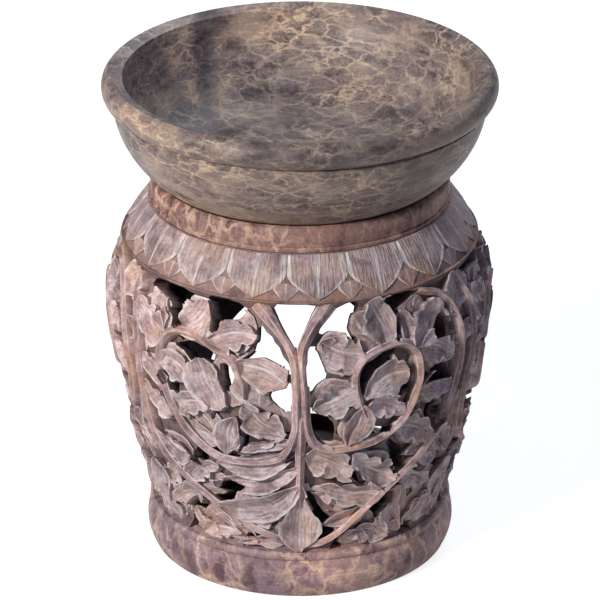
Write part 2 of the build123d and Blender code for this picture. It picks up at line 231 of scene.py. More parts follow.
def stone_material(name, colours, amount, width, cell, squash, grain_depth, ring_depth=0.0, rough=0.62):
    """Soapstone of a dark, a main, a warm and a vein colour, with its grain and lathe rings as fine bumps."""
    made, tree = new_material(name)
    colours = [tint(*colour) for colour in colours]
    stone = add_node(
        tree, "Group", *colours, amount, width, cell, squash, 1.0 if ring_depth else 0.0, rough,
        name="stone", node_tree=soapstone
    ).node.outputs
    relief = add_node(tree, "Bump", name="relief", Distance=grain_depth, Height=stone["Grain"])
    if ring_depth:
        turned = add_node(tree, "Bump", Distance=ring_depth, Height=stone["Rings"])
        feed(tree, relief.node.inputs, Normal=turned)
    feed_shader(made, Base_Color=stone["Color"], Roughness=stone["Gloss"], Normal=relief)
    feed_shader(made, Specular_IOR_Level=stone_specular)
    return made


def shade_smooth(data, sharp_angle):
    for face in data.polygons:
        face.use_smooth = True
    data.set_sharp_from_angle(angle=radians(sharp_angle))


def add_piece(name, mesh, material=None, sharp_angle=38):
    """Turns a finished bmesh into an object at the origin."""
    data = bpy.data.meshes.new(name)
    mesh.to_mesh(data)
    mesh.free()
    if material:
        data.materials.append(material)
    piece = bpy.data.objects.new(name, data)
    bpy.context.scene.collection.objects.link(piece)
    shade_smooth(data, sharp_angle)
    return piece


def spin_outline(mesh, outline, steps):
    """Turns an outline of radius and height full circle about the axis."""
    ring = [mesh.verts.new((radius, 0, height)) for radius, height in outline]
    edges = [mesh.edges.new(pair) for pair in zip(ring, ring[1:])]
    bmesh.ops.spin(
        mesh, geom=ring + edges, cent=(0, 0, 0), axis=(0, 0, 1), angle=2 * pi, steps=steps, use_merge=True
    )
    bmesh.ops.remove_doubles(mesh, verts=mesh.verts, dist=0.000001)
    bmesh.ops.recalc_face_normals(mesh, faces=mesh.faces)


def turned_piece(name, outline, material=None, steps=lathe_steps):
    mesh = bmesh.new()
    spin_outline(mesh, outline, steps)
    return add_piece(name, mesh, material)


body_stone = stone_material(
    "body_stone", ((104, 78, 84), (154, 128, 132), (174, 144, 140), (222, 188, 166)),
    1.0, 0.55, 0.006, 0.8, 0.00006, 0.00003
)

foot_outline = (
    [(0, well_floor), (well_radius, well_floor), (well_radius, foot_top), (foot_top_radius, foot_top)]
    + arc(
        (foot_top_radius, foot_top - 0.0001),
        (foot_top_radius + bead_stand, foot_top - bead_height / 2),
        (foot_top_radius, foot_top - bead_height), 6
    )
    + arc(
        (foot_top_radius, foot_top - bead_height - 0.0001),
        (foot_swell_radius, foot_top * foot_swell_share),
        (foot_base_radius + foot_base_round * 0.3, foot_base_round)
    )
    + [(foot_base_radius, foot_base_round * 0.3), (foot_base_radius - foot_base_round * 0.7, 0), (0, 0)]
)
foot_piece = turned_piece("turned_foot_ring", foot_outline, body_stone)
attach(foot_piece, "stone_body")
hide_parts("foot_ring")

# Pierced wall
# The middle of the same stone, hollowed to a wall of about 7 mm. The carver has drilled and filed
# windows through it, and an arched doorway for the candle at the back.
wall_base = foot_top
wall_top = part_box("petal_shoulder")[0].z
wall_height = wall_top - wall_base
wall_flare_radius = 0.0352
wall_swell_radius = 0.0386
wall_belly_radius = 0.0395
wall_top_radius = 0.0369
wall_flare_share = 0.31
wall_swell_share = 0.62
wall_belly_share = 0.79
wall_thickness = 0.007
relief_depth = 0.0028
ground_fade_share = 0.05
low_relief_share = 0.72
low_relief_height = 0.4
undercut_slope = 0.5
undercut_spread = 1.5
door_half_width = 0.020
door_spring = 0.0214
door_border = 0.0032
cutter_inner_radius = 0.016
cutter_outer_radius = 0.045
window_round_share = 0.22
window_top_gap = 0.00012
door_clear_angle = 46
door_clear_share = 0.62
door_overcut = 0.003
ground_edge_share = 0.3
wall_rows = 58
inner_rows = 16
jamb_rows = 8
crown_rows = 40
wall_steps = 240
wall_sharp_angle = 30
crumb_faces = 40
panel_turns = {"front": 0, "right": 120, "left": -120}

# Each point is an angle in degrees from the panel's middle and a share of the wall's height.
window_shares = [
    [(-9.5, 1.0), (4.5, 1.0), (4, 0.975), (-1.5, 0.86)],
    [(15, 1.0), (18.5, 1.0), (16, 0.915), (18, 0.87), (16.5, 0.86), (14, 0.9), (8, 0.915), (7, 0.93),
     (11, 0.975)],
    [(3, 0.845), (5.5, 0.845), (8, 0.775), (7.5, 0.75), (2.2, 0.715), (1.8, 0.78)],
    [(3, 0.615), (8, 0.59), (10.5, 0.57), (10, 0.525), (6, 0.54), (3.5, 0.58)],
    [(27, 1.0), (41, 1.0), (36, 0.965), (32, 0.95), (32, 0.86), (29.5, 0.835), (30, 0.93)],
    [(44, 0.8), (51, 0.795), (51, 0.85), (48, 0.905), (45, 0.88), (43, 0.845)],
    [(19, 0.655), (19, 0.725), (21, 0.775), (26, 0.8), (30, 0.8), (28, 0.785), (23, 0.755), (20.5, 0.705)],
    [(33.5, 0.74), (35.5, 0.74), (37, 0.69), (36, 0.625), (33, 0.595), (30.5, 0.61), (34, 0.67)],
    [(21, 0.475), (23, 0.52), (29, 0.505), (31, 0.51), (30, 0.49), (25, 0.48)],
    [(12, 0.565), (15, 0.62), (17, 0.62), (15.5, 0.585), (13.5, 0.555)],
    [(41, 0.655), (48, 0.69), (53, 0.67), (53, 0.62), (48, 0.61), (43, 0.62)],
    [(38, 0.55), (45, 0.54), (53, 0.55), (53, 0.445), (50, 0.405), (46, 0.445), (43, 0.515)],
    [(31, 0.445), (38, 0.395), (37, 0.325), (33, 0.29), (31, 0.325), (32.5, 0.36)],
    [(16.5, 0.315), (17.5, 0.35), (20, 0.34), (22, 0.3), (25.5, 0.28), (22, 0.255)],
    [(1.5, 0.237), (3, 0.255), (5, 0.255), (8, 0.21), (13.5, 0.18), (7.5, 0.15), (5, 0.168)],
    [(25, 0.168), (34.5, 0.228), (36, 0.2), (36, 0.15), (30, 0.133), (26, 0.142)],
    [(8, 0.02), (12, 0.047), (16, 0.064), (15, 0.043), (11, 0.02)],
    [(40, 0.02), (44, 0.04), (48, 0.035), (46, 0.015)],
    [(41, 0.285), (46, 0.285), (50, 0.245), (45, 0.25)],
    [(-55, 0.972), (-50, 1.0), (-37.5, 1.0), (-37, 0.97), (-39, 0.945), (-45, 0.948)],
    [(-46, 0.915), (-40, 0.94), (-38, 0.88), (-40, 0.858)],
    [(-30, 1.0), (-21, 1.0), (-17, 0.965), (-19, 0.94), (-24, 0.93), (-26, 0.88), (-28, 0.88), (-27.5, 0.93)],
    [(-12.5, 0.92), (-8, 0.88), (-3.7, 0.81), (-5, 0.79), (-11, 0.82), (-17, 0.806), (-13, 0.853)],
    [(-8, 0.697), (-2.5, 0.714), (-2.5, 0.62), (-4, 0.593), (-7, 0.61), (-10.5, 0.653)],
    [(-42, 0.792), (-36, 0.818), (-28, 0.81), (-30, 0.79), (-37, 0.783)],
    [(-25, 0.766), (-22, 0.766), (-20, 0.723), (-21, 0.688), (-23, 0.655), (-24.5, 0.7)],
    [(-48, 0.67), (-44, 0.688), (-42, 0.66), (-45, 0.625)],
    [(-30, 0.53), (-28, 0.565), (-27, 0.56), (-29, 0.505)],
    [(-18, 0.515), (-12, 0.49), (-5, 0.475), (-12, 0.463), (-18, 0.445), (-20, 0.41)],
    [(-3.5, 0.445), (-1.7, 0.445), (-2, 0.41), (-4.5, 0.393)],
    [(-38, 0.385), (-33.5, 0.375), (-36, 0.34), (-36, 0.3), (-39.5, 0.333)],
    [(-34, 0.22), (-30, 0.255), (-26, 0.29), (-18.5, 0.263), (-21, 0.23), (-25, 0.215)],
    [(-48, 0.08), (-43, 0.15), (-40, 0.17), (-35, 0.147), (-39, 0.1), (-42, 0.107)],
    [(-10.5, 0.116), (-8, 0.133), (-8, 0.107), (-12, 0.08)],
    [(-22, 0.03), (-20, 0.055), (-14, 0.047), (-12.2, 0.032)],
]


def wall_height_at(share):
    return wall_base + wall_height * share


def arc_radius(knots, height):
    """Radius at a height on the outer side of the arc through three points of radius and height."""
    centre_r, centre_z, radius = circle_through(*knots)
    rise = min(max((height - centre_z) / radius, -1), 1)
    return centre_r + radius * (1 - rise * rise) ** 0.5


wall_knots = [
    (foot_top_radius, wall_base),
    (wall_flare_radius, wall_height_at(wall_flare_share)),
    (wall_swell_radius, wall_height_at(wall_swell_share)),
    (wall_belly_radius, wall_height_at(wall_belly_share)),
    (wall_top_radius, wall_top),
]


def wall_radius(height):
    knots = wall_knots[:3] if height < wall_knots[2][1] else wall_knots[2:]
    return arc_radius(knots, height)


def facing(angle):
    """The outward and the sideways direction at an angle from the front."""
    turn = radians(angle)
    return Vector((sin(turn), -cos(turn), 0)), Vector((cos(turn), sin(turn), 0))


def softened(points, share):
    """A closed outline with each corner cut back to two points."""
    cut = []
    for index, point in enumerate(points):
        before, after = points[index - 1], points[(index + 1) % len(points)]
        cut.append(point.lerp(before, share))
        cut.append(point.lerp(after, share))
    return cut


def drawn_out(mesh, faces):
    """Extrudes faces in place and gives the new points."""
    made = bmesh.ops.extrude_face_region(mesh, geom=faces)["geom"]
    return [item for item in made if isinstance(item, bmesh.types.BMVert)]


def cut_prism(mesh, middle, outline, slope=0, spread=1):
    """A prism from past the wall to inside it. Its sill slopes down inwards, as the carver's knife does."""
    outward, sideways = facing(middle)
    lowest, highest = min(z for x, z in outline), max(z for x, z in outline)
    outer = outward * cutter_outer_radius
    ring = [mesh.verts.new(outer + sideways * x + Vector((0, 0, z))) for x, z in outline]
    for vert in drawn_out(mesh, [mesh.faces.new(ring)]):
        vert.co += outward * (cutter_inner_radius - cutter_outer_radius)
        share = (highest - vert.co.z) / (highest - lowest)
        vert.co.z -= slope * share * (wall_belly_radius - cutter_inner_radius)
        vert.co += sideways * (spread - 1) * vert.co.dot(sideways)


def window_outline(points, middle):
    flat = []
    for angle, share in points:
        height = wall_height_at(share) - window_top_gap * (share > 0.99)
        flat.append(Vector((wall_radius(height) * sin(radians(angle - middle)), height)))
    return softened(flat, window_round_share)


def drop_crumbs(mesh, fewest_faces):
    """Deletes each loose part of a mesh that has only a few faces, as cutting leaves some."""
    left = set(mesh.faces)
    while left:
        part = [left.pop()]
        for face in part:
            for edge in face.edges:
                for beside in edge.link_faces:
                    if beside in left:
                        left.remove(beside)
                        part.append(beside)
        if len(part) < fewest_faces:
            bmesh.ops.delete(mesh, geom=part, context="FACES")


def cut_by(piece, cutter):
    """The piece's mesh with the cutter taken out of it."""
    tool = piece.modifiers.new("windows", "BOOLEAN")
    tool.operation = "DIFFERENCE"
    tool.solver = "EXACT"
    tool.use_self = True
    tool.object = cutter
    bpy.context.view_layer.update()
    graph = bpy.context.evaluated_depsgraph_get()
    cut_mesh = bpy.data.meshes.new_from_object(piece.evaluated_get(graph))
    piece.modifiers.remove(tool)
    whole = bmesh.new()
    whole.from_mesh(cut_mesh)
    drop_crumbs(whole, crumb_faces)
    whole.to_mesh(cut_mesh)
    whole.free()
    piece.data = cut_mesh
    bpy.data.objects.remove(cutter)


def relief_at(share):
    """How far the ground is cut back. The carving is shallower low on the wall."""
    return relief_depth * min(1, low_relief_share + (1 - low_relief_share) * share / low_relief_height)


def wall_point(share, depth):
    height = wall_height_at(share)
    return wall_radius(height) - depth, height


ground_outline = []
for row in range(wall_rows + 1):
    share = row / wall_rows
    fade = min(1, ground_edge_share + min(share, 1 - share) / ground_fade_share)
    ground_outline.append(wall_point(share, relief_at(share) * fade))
ground_outline += [wall_point(1 - row / inner_rows, wall_thickness) for row in range(inner_rows + 1)]
ground_outline.append(ground_outline[0])
wall_piece = turned_piece("pierced_wall", ground_outline, steps=wall_steps)

cutters = bmesh.new()
for turn in panel_turns.values():
    for points in window_shares:
        angles = [angle for angle, share in points]
        middle = (min(angles) + max(angles)) / 2
        beside_door = turn != 0 and abs((turn + middle) % 360 - 180) < door_clear_angle
        if beside_door and min(share for angle, share in points) < door_clear_share:
            continue
        cut_prism(cutters, middle + turn, window_outline(points, middle), undercut_slope, undercut_spread)

# The doorway's edge as points of (over, height, up), where over and up are shares of its half width.
door_path = [(1, wall_base + (door_spring - wall_base) * row / jamb_rows, 0) for row in range(jamb_rows)]
crown_turns = [pi * row / crown_rows for row in range(crown_rows + 1)]
door_path += [(cos(turn), door_spring, sin(turn)) for turn in crown_turns]
door_path += [(-1, height, 0) for over, height, up in reversed(door_path[:jamb_rows])]
door_outline = [(door_half_width, wall_base - door_overcut)]
door_outline += [(over * door_half_width, height + up * door_half_width) for over, height, up in door_path]
door_outline.append((-door_half_width, wall_base - door_overcut))
cut_prism(cutters, 180, door_outline)
bmesh.ops.recalc_face_normals(cutters, faces=cutters.faces)
cut_by(wall_piece, add_piece("window_cutters", cutters))
shade_smooth(wall_piece.data, wall_sharp_angle)
# The cut-back ground, the wall's inside and the windows' walls take darker colours than the raised carving:
# partly painted shade of the deep cuts.
carved_ground = stone_material(
    "carved_ground", ((86, 68, 69), (134, 114, 114), (138, 114, 104), (158, 136, 128)),
    0.4, 1.0, 0.006, 1.2, 0.00012
)
wall_piece.data.materials.append(carved_ground)
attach(wall_piece, "stone_body")
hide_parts("front_carved_panel", "right_carved_panel", "left_carved_panel")

# Leaves and stems
# The raised carving, left standing when the ground was cut back: heart-shaped stems, two scrolls in
# each heart, and ridged leaves with toothed or lobed edges that lie over one another.
stem_half_width = 0.00095
scroll_half_width = 0.0012
stem_lift = 0.0001
stem_end_sink = 0.0011
leaf_lift_step = 0.00035
leaf_valley = 0.0016
carving_sink = 0.0038
under_leaf_steps = 4.8
under_leaf_turn = 24
under_leaf_spread = 1.4
leaf_spread = 1.18
jitter_angle = 0.9
jitter_share = 0.012
stem_rows = 60
scroll_rows = 120
trunk_rows = 40
stem_columns = 8
stem_taper = 0.35
stem_root_swell = 0.6
stem_end_rate = 14
stem_fall = 0.85
stem_roundness = 1.4
stem_tone = 1.0
leaf_tones = (0, 0.4)
leaf_tilts = (-0.0004, 0.0003)
leaf_lean = 0.3
leaf_edge_fall = 0.00025
leaf_edge_share = 0.2
leaf_wave = 0.00018
valley_shares = (0.85, 1.15)
least_valley = 0.0001
valley_roundness = 0.9
valley_root_rate = 6
valley_root_share = 0.2
valley_tip_rate = 3
valley_tip_share = 0.15
wave_turns = 11
wave_phases = 12
ground_clearance = 0.0006
leaf_sharp_angle = 40
leaf_grid = (30, 10)
under_leaf_grid = (20, 6)
under_leaf_deeper = 0.6
under_leaf_margin = 0.0003
scratch_stretch = 0.12
scratch_strength = 0.75
painted_side_shade = tint(52, 43, 40)

heart_shares = [
    [(0, 0.012), (8, 0.035), (15, 0.08), (24, 0.17), (32, 0.245), (45, 0.36), (53, 0.48), (56, 0.62),
     (56, 0.75), (54, 0.86), (49, 0.95), (42, 0.985), (37, 1.002)],
    [(0, 0.012), (-10, 0.06), (-20, 0.105), (-30, 0.17), (-40, 0.235), (-50, 0.31), (-56, 0.4), (-57.5, 0.55),
     (-56.5, 0.72), (-58, 0.87), (-62, 1.002)],
]
trunk_shares = [(0.3, 0.6), (0.2, 0.5), (0, 0.4), (0, 0.3), (0, 0.24)]
scroll_shares = [
    [(9.5, 1.008), (4, 0.93), (1, 0.86), (0.6, 0.79), (1.4, 0.67), (1.7, 0.57), (3, 0.5), (6, 0.455),
     (11, 0.44), (22, 0.45), (28, 0.475), (34, 0.525), (37.5, 0.62), (38.3, 0.7), (36.5, 0.79), (31, 0.835),
     (22, 0.82), (17.5, 0.775), (16.5, 0.71), (18.5, 0.62), (22, 0.53)],
    [(-13.5, 1.008), (-7, 0.93), (-3, 0.86), (-1.2, 0.79), (-0.8, 0.62), (-1.3, 0.52), (-5, 0.42),
     (-13, 0.385), (-26, 0.38), (-35, 0.43), (-42, 0.52), (-46, 0.65), (-46, 0.76), (-42, 0.84),
     (-34, 0.86), (-25, 0.82), (-19, 0.79), (-17, 0.72), (-17, 0.64)],
]

# Leaves: root, tip, width as a share of length, form, steps below the stems, and how far the midrib bends.
leaf_shares = [
    ((19, 0.815), (6, 0.875), 0.82, "lobed", 1, 0.08),
    ((27, 0.832), (21.5, 0.993), 0.85, "fan", 1, -0.1),
    ((36, 0.806), (45, 0.953), 0.8, "fan", 0, -0.12),
    ((34.5, 0.818), (31, 0.958), 0.4, "pointed", 2, -0.1),
    ((38, 0.792), (52, 0.714), 0.66, "lobed", 1, 0.1),
    ((19.5, 0.653), (34, 0.723), 0.8, "fan", 0, 0.12),
    ((21, 0.607), (34.5, 0.549), 0.56, "lobed", 1, 0.1),
    ((15, 0.463), (19.5, 0.619), 0.6, "pointed", 0, -0.1),
    ((16, 0.697), (4, 0.619), 0.84, "lobed", 0, 0.1),
    ((39, 0.619), (55, 0.567), 0.58, "lobed", 1, 0.1),
    ((32, 0.489), (48, 0.385), 0.5, "lobed", 1, 0.1),
    ((50, 0.419), (37, 0.359), 0.46, "pointed", 2, 0.1),
    ((1.5, 0.425), (17.5, 0.308), 0.58, "lobed", 0, 0.1),
    ((34, 0.281), (17, 0.416), 0.5, "lobed", 0, 0.1),
    ((30, 0.229), (7, 0.289), 0.42, "lobed", 0, 0.1),
    ((25, 0.177), (8, 0.116), 0.4, "pointed", 1, 0.08),
    ((0, 0.298), (0, 0.007), 0.47, "drop", 0, 0.0),
    ((35, 0.029), (16, 0.055), 0.5, "lobed", 0, -0.1),
    ((36, 0.237), (41.5, 0.021), 0.34, "frond", 1, -0.2),
    ((36, 0.263), (52, 0.194), 0.5, "lobed", 0, 0.1),
    ((49, 0.393), (60, 0.298), 0.62, "lobed", 1, 0.1),
    ((44, 0.021), (55, 0.133), 0.55, "lobed", 1, 0.1),
    ((52, 0.87), (63, 0.971), 0.72, "fan", 1, 0.1),
    ((56, 0.723), (63, 0.809), 0.7, "pointed", 2, 0.1),
    ((60, 0.012), (60, 0.255), 0.5, "drop", 1, 0.0),
    ((60, 0.289), (60, 0.532), 0.36, "pointed", 2, 0.0),
    ((-19, 0.78), (-3.8, 0.723), 0.8, "fan", 0, 0.1),
    ((-4.5, 0.51), (-17, 0.636), 0.72, "lobed", 0, 0.15),
    ((-29, 0.841), (-12.8, 0.896), 0.66, "lobed", 0, 0.1),
    ((-39, 0.853), (-29, 0.983), 0.78, "fan", 1, -0.1),
    ((-44, 0.809), (-57, 0.913), 0.74, "lobed", 1, 0.1),
    ((-46.5, 0.731), (-35.5, 0.679), 0.84, "fan", 1, 0.1),
    ((-23.5, 0.598), (-31, 0.78), 0.72, "dome", 1, 0.15),
    ((-43.5, 0.532), (-28.5, 0.593), 0.56, "lobed", 1, 0.1),
    ((-24, 0.402), (-20, 0.572), 0.52, "pointed", 1, 0.1),
    ((-27, 0.437), (-41, 0.506), 0.5, "pointed", 2, 0.1),
    ((-3, 0.48), (-22, 0.428), 0.36, "frond", 1, -0.1),
    ((-2.5, 0.428), (-28, 0.359), 0.3, "frond", 0, 0.12),
    ((-1, 0.367), (-28, 0.281), 0.28, "frond", 1, 0.12),
    ((0, 0.289), (-31, 0.168), 0.32, "frond", 0, 0.15),
    ((-42, 0.246), (-28, 0.338), 0.52, "lobed", 1, 0.1),
    ((-39, 0.341), (-55, 0.393), 0.5, "lobed", 1, 0.1),
    ((-44, 0.497), (-55, 0.601), 0.55, "lobed", 1, 0.1),
    ((-46, 0.619), (-55, 0.705), 0.62, "fan", 2, 0.1),
    ((-46, 0.809), (-47, 0.983), 0.5, "pointed", 2, 0.1),
    ((-39, 0.021), (-22, 0.064), 0.44, "lobed", 1, 0.1),
    ((-24, 0.014), (-6, 0.03), 0.3, "drop", 1, 0.05),
    ((-18, 0.116), (-3, 0.185), 0.4, "pointed", 1, -0.1),
    ((-36, 0.194), (-52, 0.116), 0.5, "lobed", 0, -0.1),
    ((-46, 0.255), (-59, 0.203), 0.55, "lobed", 1, 0.1),
    ((-31, 0.015), (-44, 0.1), 0.5, "lobed", 2, 0.1),
    ((-16, 0.03), (-31, 0.12), 0.5, "lobed", 2, 0.1),
    ((-53, 0.02), (-58, 0.15), 0.6, "lobed", 2, 0.1),
    ((27, 0.015), (13, 0.1), 0.5, "lobed", 2, 0.1),
    ((40, 0.02), (29, 0.11), 0.5, "lobed", 2, 0.1),
    ((58, 0.02), (51, 0.15), 0.6, "lobed", 2, 0.1),
    ((10, 0.26), (1, 0.2), 0.7, "pointed", 2, 0.1),
]

# Half width along a leaf, as (share of length, share of the half width).
leaf_form_shares = {
    "pointed": [(0, 0.1), (0.15, 0.62), (0.4, 1.0), (0.65, 0.86), (0.86, 0.45), (1, 0.02)],
    "lobed": [(0, 0.12), (0.12, 0.64), (0.26, 1.0), (0.35, 0.98), (0.41, 0.62), (0.49, 0.8), (0.58, 0.88),
              (0.66, 0.8), (0.71, 0.44), (0.8, 0.52), (0.9, 0.4), (1, 0.05)],
    "fan": [(0, 0.15), (0.2, 0.6), (0.45, 0.92), (0.62, 1.0), (0.74, 0.95), (0.79, 0.58), (0.9, 0.6),
            (1, 0.1)],
    "dome": [(0, 0.2), (0.2, 0.75), (0.45, 1.0), (0.7, 0.95), (0.88, 0.66), (1, 0.15)],
    "drop": [(0, 0.08), (0.35, 0.5), (0.6, 0.95), (0.75, 1.0), (0.88, 0.7), (1, 0.1)],
    "frond": [(0, 0.25), (0.2, 0.7), (0.5, 1.0), (0.72, 0.85), (0.9, 0.4), (1, 0.02)],
    "under": [(0, 0.3), (0.2, 0.8), (0.45, 1.0), (0.7, 0.9), (0.88, 0.6), (1, 0.15)],
}
tooth_counts = {"pointed": 6, "lobed": 7, "fan": 6, "dome": 9, "drop": 0, "frond": 8, "under": 3}
tooth_depth = 0.065
lobe_offset = 0.025


def along_knots(knots, share):
    """Smooth value at a share of the way along evenly counted knots."""
    place = min(max(share, 0), 1) * (len(knots) - 1)
    index = min(int(place), len(knots) - 2)
    part = place - index
    first, last = knots[index], knots[index + 1]
    before = knots[index - 1] if index else first * 2 - last
    after = knots[index + 2] if index + 2 < len(knots) else last * 2 - first
    return 0.5 * (
        2 * first
        + (last - before) * part
        + (2 * before - 5 * first + 4 * last - after) * part ** 2
        + (3 * first - 3 * last + after - before) * part ** 3
    )


def between(table, share):
    """Value at a share from a table of (share, value) stops."""
    for (low, low_value), (high, high_value) in zip(table, table[1:]):
        if share <= high:
            return low_value + (high_value - low_value) * (share - low) / (high - low)
    return table[-1][1]


def surface_point(radius_at, angle, height, lift):
    """A point that stands off a turned surface by a lift along its normal."""
    step = 0.0002
    slope = (radius_at(height + step) - radius_at(height - step)) / (2 * step)
    length = hypot(1, slope)
    radius = radius_at(height) + lift / length
    outward, sideways = facing(angle)
    return outward * radius + Vector((0, 0, height - lift * slope / length))


def pull_in(vert, share):
    """Moves a point towards the axis by a share of its distance from it."""
    vert.co.x *= 1 - share
    vert.co.y *= 1 - share


# What each point of a strip keeps for its material: metres along and across it, its share of the way
# from the middle to the edge, and its tone.
carving_layers = ("along", "across", "rim", "tone")


def angle_over(run, radius):
    """The angle in degrees that a sideways run takes up at a radius."""
    return run / radius * 180 / pi


def run_between(radius_at, root, tip):
    """The flat run between two points of angle and height on a turned surface, and the radius midway."""
    radius = radius_at((root[1] + tip[1]) / 2)
    return Vector((radians(tip[0] - root[0]) * radius, tip[1] - root[1])), radius


class Carving:
    """One mesh of raised strips that follow lines on a turned surface."""

    def __init__(self, radius_at, sink, drop=0, windows=()):
        self.mesh = bmesh.new()
        self.windows = windows
        layers = self.mesh.verts.layers.float
        self.along, self.across, self.rim, self.tone = (layers.new(name) for name in carving_layers)
        self.radius_at = radius_at
        self.sink = sink
        self.drop = drop

    def window_at(self, place, radius):
        """The outline, flattened at a radius, of the window that a flat place lies in."""
        angle = angle_over(place.x, radius)
        for low_angle, high_angle, low, high, outline in self.windows:
            turned = (angle - low_angle) % 360 + low_angle
            if turned < high_angle and low < place.y < high and inside(outline, turned, place.y):
                return [Vector((radians(x + angle - turned) * radius, y)) for x, y in outline]
        return None

    def beside_window(self, place, radius):
        """The place itself, or the nearest point of the edge of the window that it lies in."""
        outline = self.window_at(place, radius)
        if outline is None:
            return place
        near = []
        for index, second in enumerate(outline):
            first = outline[index - 1]
            edge = second - first
            part = min(max((place - first).dot(edge) / edge.length_squared, 0), 1)
            near.append(first + edge * part)
        return min(near, key=lambda point: (point - place).length)

    def strip(self, points, rows, columns, half_width_at, lift_at, tone=0.15):
        """A closed raised strip. Points are (angle, height), widths and lifts are metres."""
        middle = sum(angle for angle, height in points) / len(points)
        radius = self.radius_at(sum(height for angle, height in points) / len(points))
        flat = [Vector((radians(angle - middle) * radius, height)) for angle, height in points]
        length = sum((b - a).length for a, b in zip(flat, flat[1:]))
        made = bmesh.ops.create_grid(self.mesh, x_segments=rows, y_segments=columns, size=0.5)["verts"]
        places = {}
        moved = set()
        for vert in made:
            share, side = vert.co.x + 0.5, vert.co.y * 2
            centre = along_knots(flat, share)
            ahead = along_knots(flat, min(share + 0.01, 1)) - along_knots(flat, max(share - 0.01, 0))
            ahead.normalize()
            place = centre + Vector((-ahead.y, ahead.x)) * half_width_at(share, side) * side
            place.x += radians(middle) * radius
            places[vert] = self.beside_window(place, radius)
            if places[vert] != place:
                moved.add(vert)
            place = places[vert]
            angle = angle_over(place.x, radius)
            vert.co = surface_point(self.radius_at, angle, place.y, lift_at(share, side))
            vert[self.along] = share * length
            vert[self.across] = side * half_width_at(share, side)
            vert[self.rim] = abs(side)
            vert[self.tone] = tone
        faces = list({face for vert in made for face in vert.link_faces})
        if self.windows:
            over = []
            for face in faces:
                middle_place = sum((places[vert] for vert in face.verts), Vector((0, 0))) / 4
                if moved.issuperset(face.verts) or self.window_at(middle_place, radius):
                    over.append(face)
            faces = [face for face in faces if face not in over]
            bmesh.ops.delete(self.mesh, geom=over, context="FACES")
        if not faces:
            return
        for vert in drawn_out(self.mesh, faces):
            pull_in(vert, self.sink / hypot(vert.co.x, vert.co.y))
            vert.co.z -= self.drop
            # A rim of 2 marks the strip's sides, which the carving's material darkens as painted shade.
            vert[self.rim] = 2.0

    def stem(self, points, half_width, rows):
        """A stem that falls from a rubbed crest to both sides."""

        def half_width_at(share, side):
            return half_width * (1 - stem_taper * share + stem_root_swell * max(1 - share * stem_end_rate, 0))

        def lift_at(share, side):
            end = max(1 - share * stem_end_rate, share * stem_end_rate - stem_end_rate + 1, 0)
            return stem_lift - half_width * stem_fall * abs(side) ** stem_roundness - stem_end_sink * end

        self.strip(points, rows, stem_columns, half_width_at, lift_at, stem_tone)

    def leaf(self, root, tip, width_share, form, steps_down, bend, rng):
        """A ridged leaf. Its two halves fall from the midrib to a toothed edge."""
        run, radius = run_between(self.radius_at, root, tip)
        middle = Vector((run.x / 2 - run.y * bend, run.y / 2 + run.x * bend))
        middle_point = (root[0] + angle_over(middle.x, radius), root[1] + middle.y)
        half_width = run.length * width_share / 2
        teeth = tooth_counts[form]
        phase = rng.uniform(0, 0.5)
        tilt = rng.uniform(*leaf_tilts)
        lean = rng.uniform(-leaf_lean, leaf_lean)
        low = -leaf_lift_step * steps_down
        relief = relief_at(((root[1] + tip[1]) / 2 - wall_base) / wall_height)
        deepest = max(relief - ground_clearance + low, least_valley)
        valley = min(leaf_valley * rng.uniform(*valley_shares), deepest)

        def half_width_at(share, side):
            notched = min(max(share + lobe_offset * (1 if side > 0 else -1), 0), 1)
            width = half_width * between(leaf_form_shares[form], notched)
            if teeth:
                tooth = (share * teeth + phase + (0.5 if side > 0 else 0)) % 1
                width *= 1 - tooth_depth * tooth
            return width

        def lift_at(share, side):
            if side > lean:
                rise = (side - lean) / (1 - lean)
            else:
                rise = (lean - side) / (1 + lean)
            root_depth = share * valley_root_rate + valley_root_share
            depth = valley * min(root_depth, 1, (1 - share) * valley_tip_rate + valley_tip_share)
            edge_fall = leaf_edge_fall * max(rise - (1 - leaf_edge_share), 0) / leaf_edge_share
            wave = leaf_wave * sin(share * wave_turns + phase * wave_phases) * rise
            return low + tilt * share - depth * (1 - rise) ** valley_roundness - edge_fall + wave

        grid = leaf_grid if steps_down < under_leaf_steps else under_leaf_grid
        self.strip([root, middle_point, tip], *grid, half_width_at, lift_at, rng.uniform(*leaf_tones))

    def finished(self, name, material, sharp_angle):
        drop_crumbs(self.mesh, crumb_faces)
        bmesh.ops.recalc_face_normals(self.mesh, faces=self.mesh.faces)
        return add_piece(name, self.mesh, material, sharp_angle)


